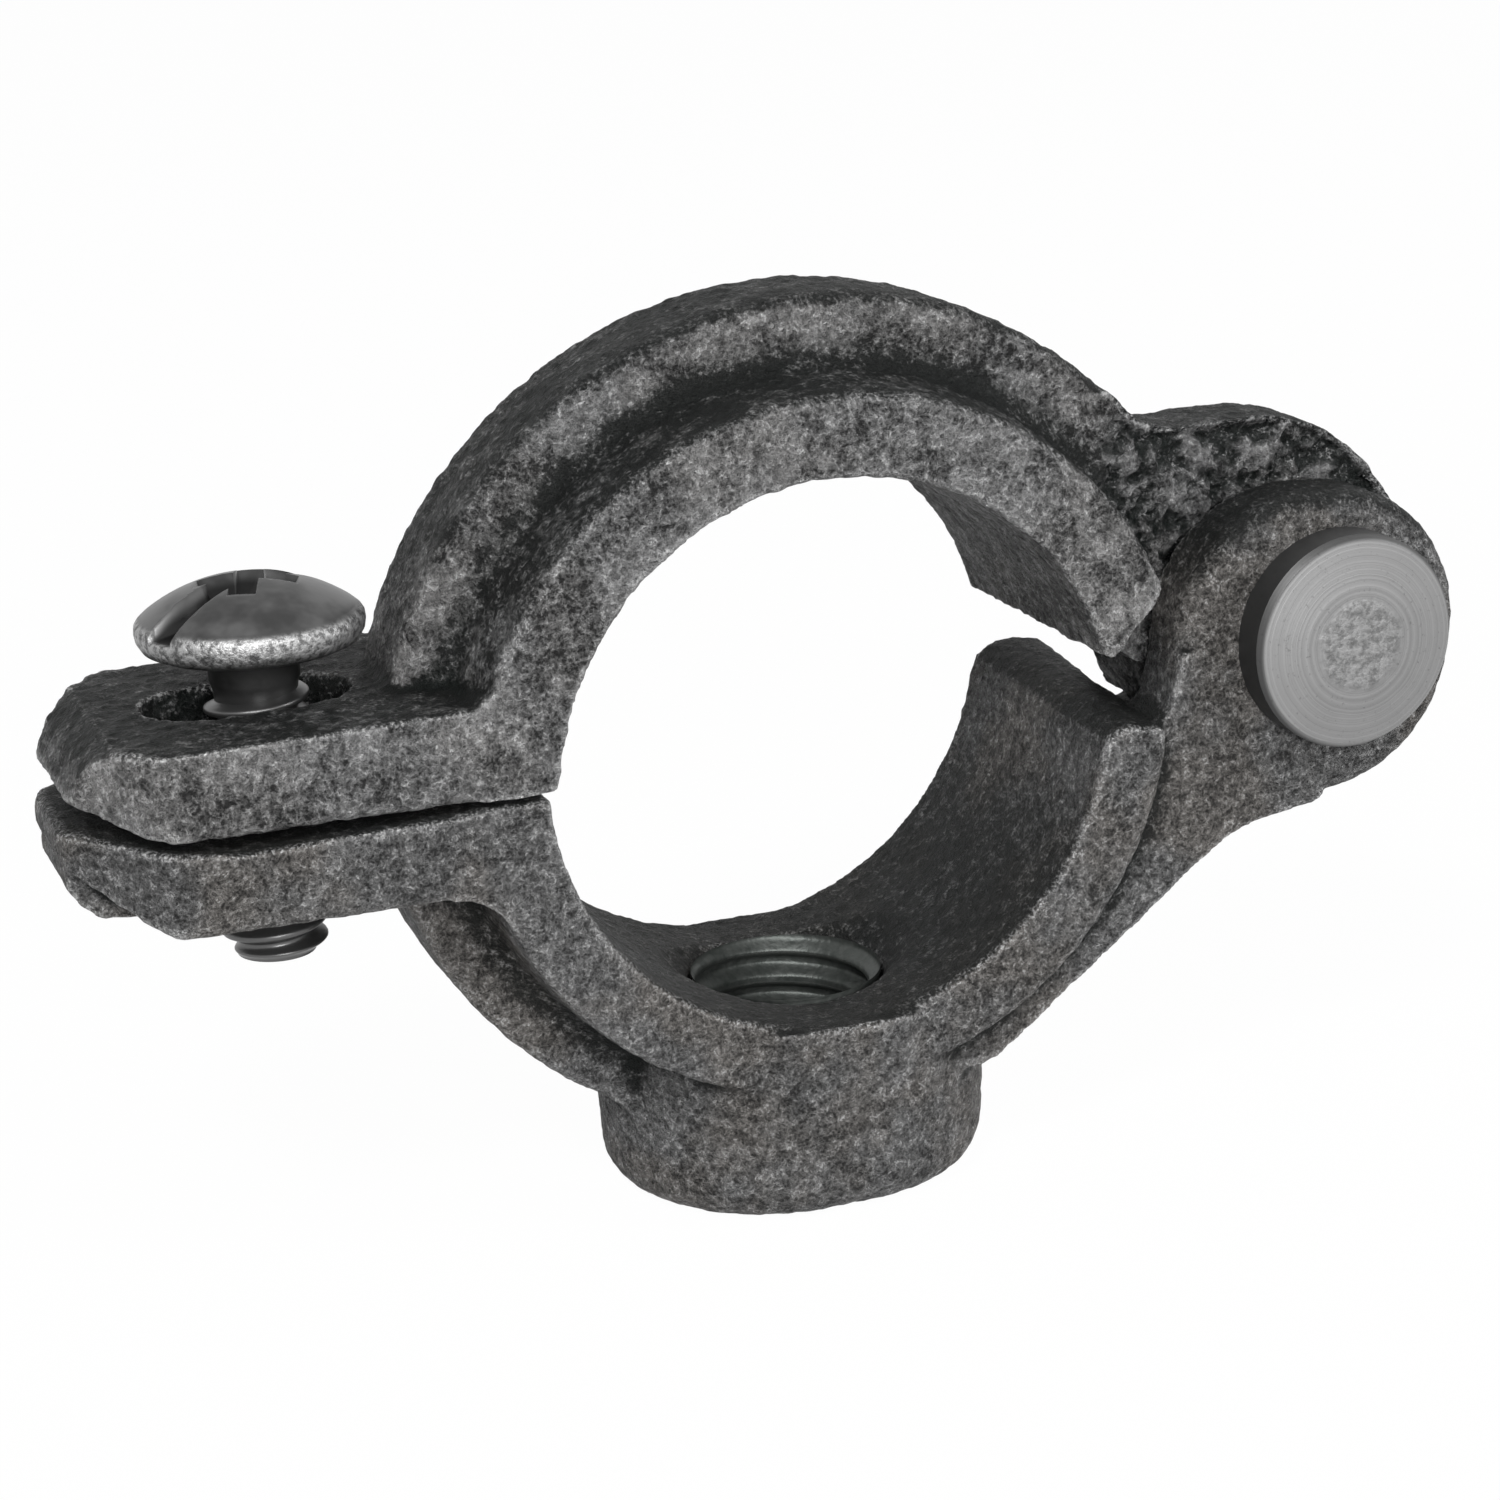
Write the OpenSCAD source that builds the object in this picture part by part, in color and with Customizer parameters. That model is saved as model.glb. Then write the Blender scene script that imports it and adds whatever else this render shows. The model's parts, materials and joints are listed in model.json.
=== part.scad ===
/* [Pipe and ring] */
// Outside diameter of the pipe that the ring carries
pipe_d = 26.7; // [24:0.1:30]
// Room between the pipe and the ring, taken at the radius
pipe_play = 0.3; // [0.1:0.05:0.6]
// Width of the ring along the pipe
ring_w = 16; // [14.6:0.2:20]
// How far the upper arc sits below the lower arc's centre when the ring is shut empty
shut_drop = 1.56; // [1:0.02:2.2]
// How far the upper arc sits towards the hinge when the ring is shut empty
shut_shift = 0.48; // [0:0.02:0.9]
// Radius of the soft edges that the sand mould leaves on the castings
edge_r = 0.6; // [0.3:0.05:0.8]

/* [Upper half] */
// Thickness of the upper strap at its edges
upper_t = 3.9; // [3.2:0.1:4.6]
// Rise of the strap's back from its edge to the foot of the rib
upper_crown = 0.5; // [0.2:0.05:0.9]
// Width of the ribs and of the rear hinge lug, along the pipe
rib_w = 6.4; // [5.4:0.1:7]
// Height of the upper rib over the strap's edge
upper_rib_h = 3.75; // [3:0.05:4.4]
// How far the upper rib's arc leans towards the hinge, where the rib is tallest
rib_lean = 0.8; // [0.3:0.05:1.2]
// Fillet at the foot of both ribs
root_r = 1.4; // [0.8:0.1:1.8]
// Height of the pointed strap end over the level of the pipe's axis
strap_tip_z = 2.1; // [1.6:0.05:2.6]
// Width of the slanted face at the strap's end
strap_slant_w = 2.5; // [1.5:0.1:3]
// Height of the slanted face at the strap's end
strap_slant_h = 2.8; // [1.8:0.1:3.4]

/* [Lower half] */
// Thickness of the lower strap at its edges
lower_t = 3.4; // [2.8:0.1:4]
// Rise of the lower strap's back from its edge to the foot of the rib
lower_crown = 0.3; // [0.1:0.05:0.7]
// Height of the lower rib over its strap, between the ear and the boss
lower_rib_h = 3.2; // [2.4:0.05:3.8]
// Depth of the lower strap's free end below the pipe's axis
strap_end_drop = 1.5; // [1.2:0.05:2.2]
// Bevel on both corners of the lower strap's free end
strap_bevel = 0.7; // [0.4:0.05:1]
// How far the hinge web swells past the outside of the lower strap
web_h = 1.1; // [0.7:0.05:1.6]
// Climb of the web's edge from the boss to the front lug, in degrees
web_slope = 37; // [34:0.5:40]
// Fillet where the web runs out into the front lug
web_r = 9; // [5:0.5:10]

/* [Hinge] */
// Height of the hinge axis over the pipe's axis
hinge_z = 1.5; // [1.1:0.05:2]
// Radius of the rear lug, on the upper half
lug_b_r = 8.85; // [8:0.05:9.6]
// How far the rear lug's outline sits up and out from the hinge axis, each way
lug_b_shift = 0.3; // [0:0.05:0.5]
// Fillet between the upper rib and the rear lug
neck_r = 12; // [8:0.5:15]
// Radius of the front lug, on the lower half
lug_a_r = 6.9; // [6.2:0.05:7.4]
// Thickness of the front lug
lug_a_t = 3.7; // [3:0.1:4.2]
// Extra width of metal on the front lug's flank, towards the ring
lug_flank = 1.2; // [0.6:0.05:1.6]
// Extra depth of metal under the front lug's eye
lug_heel = 1.25; // [0.6:0.05:1.6]
// Gap between the faces of the two lugs
lug_play = 0.1; // [0.06:0.01:0.2]
// Clearance round the rear lug as it swings
swing_gap = 0.35; // [0.25:0.05:0.6]

/* [Hinge rivet] */
// Diameter of the rivet's shank
rivet_d = 6.35; // [5.4:0.05:7]
// Running clearance of the shank in the rear lug, at the radius
rivet_play = 0.05; // [0.03:0.01:0.1]
// Diameter of the flat head in front
rivet_head_d = 10.4; // [9.4:0.1:11.2]
// Thickness of the flat head at its rim
rivet_head_t = 2; // [1.4:0.1:2.4]
// Rise of the flat head's face from rim to centre
rivet_head_rise = 0.3; // [0.1:0.05:0.5]
// Bevel round the rims of both heads
rivet_bevel = 0.25; // [0.1:0.05:0.5]
// Diameter of the peened head behind
peen_d = 9; // [8.2:0.1:9.8]
// Height of the peened head
peen_h = 1.8; // [1.2:0.1:2.4]

/* [Clamp ears] */
// Thickness of the upper ear
upper_ear_t = 4.7; // [4:0.1:5.4]
// Level of the upper ear's underside, below the pipe's axis
upper_ear_drop = 0.5; // [0.3:0.05:0.9]
// Thickness of the lower ear
lower_ear_t = 4.1; // [3.6:0.1:4.8]
// Gap between the ears beside the ring, when the ring is shut empty
ear_gap = 0.25; // [0.15:0.05:0.5]
// How much further the lower ear falls away under the slot
ear_fall = 0.4; // [0.1:0.05:0.6]
// Fall of the upper ear's top towards its end
ear_top_fall = 0.7; // [0.2:0.05:1.2]
// How far the upper ear's underside curls up towards its end
ear_curl = 1.6; // [0.6:0.05:2.2]
// Height of the upright part of the lower ear's end
ear_nose_h = 1.6; // [0.8:0.05:2.2]
// Radius over the ears' ends
ear_nose_r = 1.2; // [0.6:0.05:1.4]
// Fillet under the lower ear, where it leaves the strap
ear_root_r = 3; // [1.5:0.1:4]
// Metal between the slot and the ear's end
ear_wall = 4.75; // [3.6:0.05:6]
// Length of the cut corners at the ears' ends, along the ear
corner_l = 4.1; // [3:0.1:5]
// Depth of the cut corners at the ears' ends, across the ear
corner_w = 4.6; // [3:0.1:5]
// Radius on the cut corners
corner_r = 2.5; // [1:0.1:2.8]

/* [Screw slot] */
// Width of the slot in the upper ear
slot_w = 5.5; // [5.2:0.05:6]
// Slot centre line inside the screw's axis, towards the ring
slot_in = 1.55; // [0.8:0.05:1.8]
// Slot centre line outside the screw's axis
slot_out = 2.45; // [1.5:0.05:3]

/* [Clamp screw] */
// Diameter over the screw's thread and its smooth neck
screw_d = 4.83; // [4.2:0.01:4.9]
// Diameter of the screw at the root of its thread
screw_root_d = 3.6; // [3.2:0.05:3.8]
// Room between the thread and the tapped hole, at the radius
tap_play = 0.12; // [0.1:0.01:0.2]
// Diameter of the screw's head
screw_head_d = 10.8; // [9.6:0.1:11.4]
// Height of the head's rim
screw_rim_h = 1.1; // [0.8:0.05:1.4]
// Rise of the head's dome over its rim
screw_dome_h = 2.1; // [1.6:0.1:2.6]
// Gap between the head's rim and the foot of the upper rib
head_gap = 0.2; // [0.15:0.05:1]
// Height of the backed-off head over the upper ear
screw_lift = 1.8; // [1.4:0.05:2.4]
// Length of the screw's tip below the lower ear
screw_below = 3.25; // [2:0.05:4.5]
// Bevel at the screw's tip, as taper at the radius
screw_bevel = 0.6; // [0.3:0.05:0.9]
// How far the smooth neck reaches down into the upper ear
neck_below = 0.6; // [0.2:0.05:1.5]
// Width of the straight driver slot
driver_slot_w = 1.3; // [0.9:0.05:1.6]
// Depth of the straight driver slot below the dome's top
driver_slot_h = 1.7; // [1.2:0.1:1.9]
// Span of the cross recess over its wings
cross_span = 5.2; // [4.2:0.1:5.8]
// Depth of the cross recess below the dome's top
cross_h = 2.4; // [1.8:0.1:2.7]
// Turn of the driver slot from the ear's length, in degrees
driver_turn = 62; // [0:1:90]

/* [Rod boss] */
// Diameter of the threaded rod that carries the hanger, over its thread
rod_d = 9.53; // [8:0.01:10.4]
// Bevel at the boss's mouth
rod_sink = 0.4; // [0.2:0.05:0.6]
// Bevel of the tapped holes where they open into the ring and between the ears
tap_sink = 0.6; // [0.3:0.05:0.8]
// Width of the boss where it leaves the ring, across the pipe
boss_w = 19.6; // [18.4:0.1:22]
// How much narrower the boss is along the pipe than across it
boss_oval = 2.4; // [1.6:0.1:3]
// Draft of the boss, as taper at the radius over its height
boss_draft = 0.5; // [0.2:0.05:0.8]
// Height of the boss below the outside of the ring
boss_h = 6.45; // [5.4:0.05:8]
// Radius round the boss's foot
boss_foot_r = 2.2; // [1.4:0.1:2.4]
// Radius of the flare between the boss and the ring
boss_flare_r = 3; // [1.5:0.1:3.6]

/* [Hidden] */
$fn = 96;
arc_steps = 6;
hull_fn = 32;

// Cuts run over past a face by this much, and pieces of one casting sink in by this much
over = 1;
sink = 0.1;

cast_dark = [0.26, 0.26, 0.25];
cast_light = [0.33, 0.33, 0.32];
zinc = [0.68, 0.68, 0.69];
screw_steel = [0.42, 0.42, 0.43];

// The lower arc is round the origin, the upper arc round upper_c
bore_r = pipe_d / 2 + pipe_play;
half_w = ring_w / 2;
rib_half = rib_w / 2;
lower_r = bore_r + lower_t;
upper_r = bore_r + upper_t;
lower_rib_r = lower_r + lower_rib_h;
upper_rib_r = upper_r + upper_rib_h;
upper_c = [shut_shift, -shut_drop];
rib_c = upper_c + [rib_lean, 0];

// The hinge stands off so that the rear lug swings past the lower strap's end
lug_b_reach = lug_b_r + lug_b_shift * sqrt(2);
hinge_x = lower_r + sqrt(pow(lug_b_reach + swing_gap, 2) - pow(hinge_z + strap_end_drop, 2));
hinge_c = [hinge_x, hinge_z];
lug_b_c = hinge_c + [lug_b_shift, lug_b_shift];
lug_a_back = -rib_half - lug_play;
lug_a_front = lug_a_back - lug_a_t;
heel_r = lug_a_r + 0.3 * lug_heel;
heel_c = hinge_c - [0.4, 0.7] * lug_heel;

// The web's lower edge is a straight run that keeps web_h off the strap
web_run = [cos(web_slope), sin(web_slope)];
web_start = [sin(web_slope), -cos(web_slope)] * (lower_r + web_h);

// The ears: levels of their faces, and the screw's axis beside the rib
upper_ear_z = -upper_ear_drop;
upper_ear_top = upper_ear_z + upper_ear_t;
lower_ear_z = upper_ear_z - ear_gap;
lower_ear_bottom = lower_ear_z - lower_ear_t;
head_z = upper_ear_top + screw_lift;
rib_at_head = rib_c[0] - sqrt(pow(upper_rib_r, 2) - pow(upper_ear_top - rib_c[1], 2));
screw_x = rib_at_head - head_gap - screw_head_d / 2;
slot_end_x = screw_x - slot_out - slot_w / 2;
ear_end = slot_end_x - ear_wall;
tip_z = lower_ear_bottom - screw_below;

// The boss: its foot, its end radius, and its half width where the ribs meet it
foot_z = -lower_r - boss_h;
boss_r = (boss_w - boss_oval) / 2;
boss_side = boss_oval / 2 + sqrt(pow(boss_r - boss_draft, 2) - pow(rib_half, 2));

// Point lists with arcs at the corners: a corner is [x, y, radius]
function unit(v) = v / norm(v);
function heading(v) = atan2(v[1], v[0]);
function short_turn(from, to) = (to - from + 540) % 360 - 180;
function corner_arc(a, b, c, r) =
    r == 0 ? [b] :
    let (u = unit(a - b), v = unit(c - b), half = acos(u * v) / 2,
         centre = b + unit(u + v) * r / sin(half),
         from = heading(b + u * r / tan(half) - centre),
         sweep = short_turn(from, heading(b + v * r / tan(half) - centre)))
    [for (i = [0 : arc_steps]) centre + r * [cos(from + sweep * i / arc_steps),
                                             sin(from + sweep * i / arc_steps)]];
function rounded(corners) =
    let (n = len(corners), p = [for (c = corners) [c[0], c[1]]])
    [for (i = [0 : n - 1]) each corner_arc(p[(i + n - 1) % n], p[i], p[(i + 1) % n], corners[i][2])];

// A sharp corner at a point
function corner_point(p) = [p[0], p[1], 0];

// Where two circles about a and b meet, on the side that lies left of a to b
function circles_meet(a, ra, b, rb) =
    let (d = norm(b - a), along = (d * d + ra * ra - rb * rb) / (2 * d),
         aside = sqrt(ra * ra - along * along), u = unit(b - a))
    a + u * along + [-u[1], u[0]] * aside;

// A flat outline in x and z, given thickness along the pipe from y0 to y1
module along_pipe(y0, y1) {
    translate([0, y1, 0]) rotate([90, 0, 0]) linear_extrude(y1 - y0) children();
}

// A section (radius, place along the pipe) swept about c from one angle to another
module swept(c, from, to) {
    translate([c[0], 0, c[1]]) rotate([90, 0, 0]) rotate([0, 0, from])
        rotate_extrude(angle = to - from) mirror([0, 1, 0]) children();
}

// A cylinder along the pipe about c, from y0 to y1
module pin(c, r, y0, y1) {
    translate([c[0], y1, c[1]]) rotate([90, 0, 0]) cylinder(r = r, h = y1 - y0);
}

// Section of a strap whose back rises to a central rib
module strap_section(outer, crown, rib_top) {
    foot = outer + crown;
    polygon(rounded([
        [bore_r, -half_w, edge_r / 2], [outer, -half_w, edge_r],
        [foot, -rib_half, root_r], [rib_top, -rib_half, edge_r],
        [rib_top, rib_half, edge_r], [foot, rib_half, root_r],
        [outer, half_w, edge_r], [bore_r, half_w, edge_r / 2]]));
}

// Section of a plain strap
module plain_section(outer) {
    polygon(rounded([
        [bore_r, -half_w, edge_r / 2], [outer, -half_w, edge_r],
        [outer, half_w, edge_r], [bore_r, half_w, edge_r / 2]]));
}

// Plan of both ears: square to the ring, with cut corners at the free end
module ear_plan() {
    polygon(rounded([
        [0, -half_w, 0], [ear_end + corner_l, -half_w, corner_r],
        [ear_end, corner_w - half_w, corner_r], [ear_end, half_w - corner_w, corner_r],
        [ear_end + corner_l, half_w, corner_r], [0, half_w, 0]]));
}

// Cross-section of an ear between two levels, with soft edges
module ear_cross(bottom, top) {
    rotate([90, 0, -90]) linear_extrude(-ear_end + over)
        polygon(rounded([
            [-half_w, bottom, edge_r], [half_w, bottom, edge_r],
            [half_w, top, edge_r], [-half_w, top, edge_r]]));
}

// An ear: its side view, its plan and its cross-section, one through the other
module ear(side, bottom, top) {
    intersection() {
        along_pipe(-half_w, half_w) polygon(rounded(side));
        translate([0, 0, bottom - over]) linear_extrude(top - bottom + 2 * over) ear_plan();
        ear_cross(bottom, top);
    }
}

// Upper ear: its top falls outwards, and its underside curls up at the end
module upper_ear() {
    ear([[0, upper_ear_z, 0], [0, upper_ear_top, 0],
         [ear_end, upper_ear_top - ear_top_fall, ear_nose_r],
         [ear_end, upper_ear_z + ear_curl, ear_nose_r / 2],
         [ear_end + corner_l, upper_ear_z, corner_l]],
        upper_ear_z, upper_ear_top);
}

// Lower ear: hollow on top under the slot, with a bold round under its end
module lower_ear() {
    end_z = lower_ear_z + ear_fall;
    ear([[0, lower_ear_z, 0], [-bore_r, lower_ear_z, 0],
         [screw_x - slot_out, lower_ear_z - ear_fall, slot_w],
         [ear_end, end_z, ear_nose_r / 2], [ear_end, end_z - ear_nose_h, ear_nose_r],
         [ear_end + corner_l, lower_ear_bottom, corner_l], [0, lower_ear_bottom, 0]],
        lower_ear_bottom, end_z);
}

// Upper strap and rib, ending in a blunt point beside the hinge
module upper_strap() {
    tip = [upper_c[0] + bore_r, strap_tip_z];
    slant = tip + [strap_slant_w, strap_slant_h];
    cut_z = upper_c[1] - over;
    difference() {
        union() {
            swept(upper_c, 0, 180)
                strap_section(upper_r, upper_crown, upper_rib_r - rib_lean - edge_r);
            swept(rib_c, 0, 180)
                polygon(rounded([
                    [upper_r, -rib_half, 0], [upper_rib_r, -rib_half, 1.5 * edge_r],
                    [upper_rib_r, rib_half, 1.5 * edge_r], [upper_r, rib_half, 0]]));
        }
        along_pipe(-half_w - over, half_w + over) {
            polygon(rounded([
                [0, tip[1], 0], corner_point(tip), [slant[0], slant[1], 1],
                [slant[0], upper_r, 0], [hinge_x, upper_r, 0], [hinge_x, cut_z, 0],
                [0, cut_z, 0]]));
            translate([-upper_rib_r - over, cut_z])
                square([upper_rib_r + over, upper_ear_z - cut_z]);
        }
        pin(upper_c, bore_r, -half_w - over, half_w + over);
    }
}

// Rear lug, and the neck that carries it from the upper rib
module rear_lug() {
    valley_c = circles_meet(rib_c, upper_rib_r + neck_r, lug_b_c, lug_b_r + neck_r);
    tip = [upper_c[0] + bore_r, strap_tip_z] + [sink, sink];
    swept(lug_b_c, 0, 360)
        polygon(rounded([[0, -rib_half, 0], [lug_b_r, -rib_half, edge_r],
                         [lug_b_r, rib_half, edge_r], [0, rib_half, 0]]));
    difference() {
        along_pipe(-rib_half, rib_half) difference() {
            polygon([rib_c, valley_c, lug_b_c, lug_b_c - [lug_b_r - sink, lug_b_r / 8], tip]);
            translate(valley_c) circle(r = neck_r);
        }
        pin(upper_c, upper_r - over, -half_w, half_w);
        pin([0, 0], bore_r + sink, -half_w, half_w);
    }
}

// Lower strap, with its rib from the ear to the boss and a rounded free end
module lower_strap() {
    inner = bore_r + strap_bevel;
    outer = lower_r - strap_bevel;
    reach = 2 * strap_bevel;
    difference() {
        union() {
            swept([0, 0], 180, 360) plain_section(lower_r);
            swept([0, 0], 180, 275) strap_section(lower_r, lower_crown, lower_rib_r);
        }
        along_pipe(-half_w - over, half_w + over) {
            translate([-lower_rib_r - over, lower_ear_z])
                square([lower_rib_r + over, over - lower_ear_z]);
            polygon(rounded([
                [inner - reach, -strap_end_drop - reach, 0], [inner, -strap_end_drop, edge_r],
                [outer, -strap_end_drop, edge_r], [outer + reach, -strap_end_drop - reach, 0],
                [outer + reach, over, 0], [inner - reach, over, 0]]));
        }
    }
}

// Metal that rounds out the corner between an arc about c and a level face at z;
// side is 1 where the fillet lies over the face and -1 where it lies under it
module level_fillet(c, arc_r, z, r, side) {
    centre = [c[0] - sqrt(pow(arc_r + r, 2) - pow(z + side * r - c[1], 2)), z + side * r];
    touch = c + (centre - c) * arc_r / (arc_r + r);
    within = c + (centre - c) * (arc_r - edge_r) / (arc_r + r);
    root_z = z - side * edge_r;
    difference() {
        polygon([[centre[0], root_z], centre, touch, within, [within[0], root_z]]);
        translate(centre) circle(r = r);
    }
}

// Eye of the front lug: round its pin, wider towards the ring and deeper below
module front_eye() {
    for (disc = [[hinge_c, lug_a_r], [hinge_c - [lug_flank, 0], lug_a_r + sink / 2], [heel_c, heel_r]])
        swept(disc[0], 0, 360)
            polygon(rounded([[0, lug_a_front, 0], [disc[1], lug_a_front, 2 * edge_r],
                             [disc[1], lug_a_back, 0], [0, lug_a_back, 0]]));
}

// Web that runs from the boss, round the strap, to the front eye and the strap's end
module hinge_web() {
    heel_z = heel_c[1] - heel_r;
    turn = web_start + web_run * (heel_z - web_start[1]) / web_run[1];
    along_pipe(lug_a_front, rib_half)
        polygon(rounded([
            corner_point(web_start - web_run * boss_w / 4), [turn[0], turn[1], web_r],
            [heel_c[0], heel_z, 0], [hinge_x, hinge_z, 0],
            [hinge_x - lug_flank - lug_a_r, hinge_z, 0],
            [lower_r + strap_bevel / 2, -strap_end_drop + strap_bevel / 2, 0],
            [lower_r - strap_bevel, -strap_end_drop - strap_bevel, 0], [0, -bore_r + over, 0]]));
}

// Oval boss for the rod, drawn in towards a rounded foot
module boss() {
    hull() for (side = [-1, 1])
        translate([side * boss_oval / 2, 0, 0]) rotate_extrude($fn = hull_fn)
            polygon(rounded([[0, foot_z, 0], [boss_r - boss_draft, foot_z, boss_foot_r],
                             [boss_r, -bore_r, 0], [0, -bore_r, 0]]));
}

// Flares that lead the rib and the web's middle down into the boss
module boss_flare() {
    r = boss_flare_r;
    centre = [-boss_side - r, -sqrt(pow(lower_rib_r + r, 2) - pow(boss_side + r, 2))];
    touch = centre * lower_rib_r / (lower_rib_r + r);
    corner = web_start + web_run * (boss_side - web_start[0]) / web_run[0];
    along_pipe(-rib_half, rib_half) {
        difference() {
            polygon([centre, [-boss_side, centre[1]], [over - boss_side, centre[1]],
                     touch * 0.9, touch]);
            translate(centre) circle(r = r);
        }
        polygon(rounded([
            [boss_side - over, corner[1] - r, 0], [boss_side, corner[1] - r, 0],
            [boss_side, corner[1], r], corner_point(corner + web_run * r),
            corner_point(corner + web_run * r + [-over, over])]));
    }
}

module lower_half() {
    color(cast_dark) difference() {
        union() {
            lower_strap();
            lower_ear();
            along_pipe(-half_w, half_w)
                level_fillet([0, 0], lower_r, lower_ear_bottom, ear_root_r, -1);
            boss();
            boss_flare();
            hinge_web();
            front_eye();
        }
        pin([0, 0], bore_r, -half_w - over, half_w + over);
        pin(hinge_c, lug_b_reach + swing_gap, lug_a_back, half_w + over);
        pin(hinge_c, rivet_d / 2, -half_w - over, half_w + over);
        rod_hole();
        screw_hole();
    }
}

// Bevel of a tapped hole that opens upwards, from the level where it starts
module open_sink(r, z) {
    translate([0, 0, z]) cylinder(r1 = r, r2 = r + 2 * over, h = 2 * over);
}

// Hole for the rod, bevelled at both mouths
module rod_hole() {
    r = rod_d / 2;
    translate([0, 0, foot_z - over]) cylinder(r = r, h = -foot_z);
    translate([0, 0, foot_z - over]) cylinder(r1 = r + rod_sink + over, r2 = r, h = rod_sink + over);
    open_sink(r, -bore_r - sink);
}

// Hole for the clamp screw, bevelled on top
module screw_hole() {
    r = screw_d / 2 + tap_play;
    translate([screw_x, 0, 0]) {
        translate([0, 0, lower_ear_bottom - over]) cylinder(r = r, h = lower_ear_t + 2 * over);
        open_sink(r, lower_ear_z - ear_fall - tap_sink);
    }
}

module upper_half() {
    color(cast_light) difference() {
        union() {
            upper_strap();
            difference() {
                union() {
                    upper_ear();
                    along_pipe(-half_w, half_w)
                        level_fillet(upper_c, upper_r, upper_ear_top, edge_r, 1);
                }
                pin(upper_c, bore_r, -half_w - over, half_w + over);
            }
            rear_lug();
        }
        slot_cut();
        pin(hinge_c, rivet_d / 2 + rivet_play, -half_w, half_w);
    }
}

// Long hole that lets the screw follow the upper ear as it swings
module slot_cut() {
    translate([screw_x, 0, upper_ear_z - over]) linear_extrude(upper_ear_t + 2 * over) {
        translate([-slot_out, -slot_w / 2]) square([slot_out + slot_in, slot_w]);
        translate([-slot_out, 0]) circle(d = slot_w);
        translate([slot_in, 0]) circle(d = slot_w);
    }
}

// Solid rivet: a broad flat head in front, a peened head behind the rear lug
module hinge_rivet() {
    face = lug_a_front - rivet_head_t;
    peen = rib_half + lug_play;
    head_r = rivet_head_d / 2;
    peen_r = peen_d / 2;
    color(zinc) swept(hinge_c, 0, 360)
        polygon(rounded([
            [0, face - rivet_head_rise, 0], [head_r / 2, face - rivet_head_rise, rivet_d / 2],
            [head_r - rivet_bevel, face, 0], [head_r, face + rivet_bevel, 0],
            [head_r, lug_a_front, 0], [rivet_d / 2, lug_a_front, 0], [rivet_d / 2, peen, 0],
            [peen_r, peen, 0], [peen_r - rivet_bevel, peen + peen_h / 2, rivet_bevel],
            [peen_r / 2, peen + peen_h, peen_h], [0, peen + peen_h, 0]]));
}

// Truss-head screw with a straight slot and a cross recess
module clamp_screw() {
    r = screw_d / 2;
    root = screw_root_d / 2;
    head_r = screw_head_d / 2;
    seat = screw_rim_h / 3;
    rim_z = head_z + screw_rim_h;
    dome_r = (head_r * head_r + screw_dome_h * screw_dome_h) / (2 * screw_dome_h);
    dome_a = asin(head_r / dome_r);
    top_z = rim_z + screw_dome_h;
    color(screw_steel) translate([screw_x, 0, 0]) difference() {
        rotate_extrude() polygon(concat(
            [[0, tip_z], [root - screw_bevel, tip_z], [root, tip_z + screw_bevel],
             [root, upper_ear_top - neck_below], [r, upper_ear_top - neck_below + r - root],
             [r, head_z], [head_r - seat, head_z], [head_r, head_z + seat]],
            [for (i = [0 : 11]) let (a = dome_a * (1 - i / 12))
                [dome_r * sin(a), top_z - dome_r * (1 - cos(a))]],
            [[0, top_z]]));
        rotate([0, 0, driver_turn]) {
            translate([-head_r - over, -driver_slot_w / 2, top_z - driver_slot_h])
                cube([2 * (head_r + over), driver_slot_w, driver_slot_h + over]);
            translate([0, 0, top_z - cross_h]) intersection() {
                cylinder(r1 = root / 2, r2 = cross_span / 2, h = cross_h);
                union() for (turn = [45, 135]) rotate([0, 0, turn])
                    translate([-head_r, -driver_slot_w / 2, 0])
                        cube([screw_head_d, driver_slot_w, cross_h + over]);
            }
        }
    }
}

lower_half();
upper_half();
hinge_rivet();
clamp_screw();
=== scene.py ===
import json
from math import acos, atan2, cos, degrees, hypot, pi, radians, sin

import bpy
import bmesh
from mathutils import Matrix, Vector


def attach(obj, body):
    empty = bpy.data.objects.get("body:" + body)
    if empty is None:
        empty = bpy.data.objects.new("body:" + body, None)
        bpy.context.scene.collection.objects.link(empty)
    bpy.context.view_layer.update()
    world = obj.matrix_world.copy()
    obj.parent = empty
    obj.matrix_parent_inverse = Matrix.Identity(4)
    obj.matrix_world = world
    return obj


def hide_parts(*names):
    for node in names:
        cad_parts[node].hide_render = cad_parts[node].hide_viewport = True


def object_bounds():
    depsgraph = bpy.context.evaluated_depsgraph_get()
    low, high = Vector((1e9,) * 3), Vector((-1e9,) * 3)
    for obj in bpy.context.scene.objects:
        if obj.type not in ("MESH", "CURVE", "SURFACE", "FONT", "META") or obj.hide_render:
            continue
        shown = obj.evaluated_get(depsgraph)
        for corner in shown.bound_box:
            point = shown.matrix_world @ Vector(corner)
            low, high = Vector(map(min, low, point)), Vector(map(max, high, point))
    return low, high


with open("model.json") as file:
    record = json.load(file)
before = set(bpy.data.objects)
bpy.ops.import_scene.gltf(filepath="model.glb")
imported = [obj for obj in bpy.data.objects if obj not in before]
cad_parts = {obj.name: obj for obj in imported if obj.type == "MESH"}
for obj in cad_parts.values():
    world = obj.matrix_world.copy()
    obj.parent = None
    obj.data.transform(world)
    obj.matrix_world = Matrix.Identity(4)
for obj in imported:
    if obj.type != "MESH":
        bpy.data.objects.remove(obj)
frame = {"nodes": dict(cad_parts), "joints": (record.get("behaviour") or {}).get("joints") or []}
cad_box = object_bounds()
MM = 0.001


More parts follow.
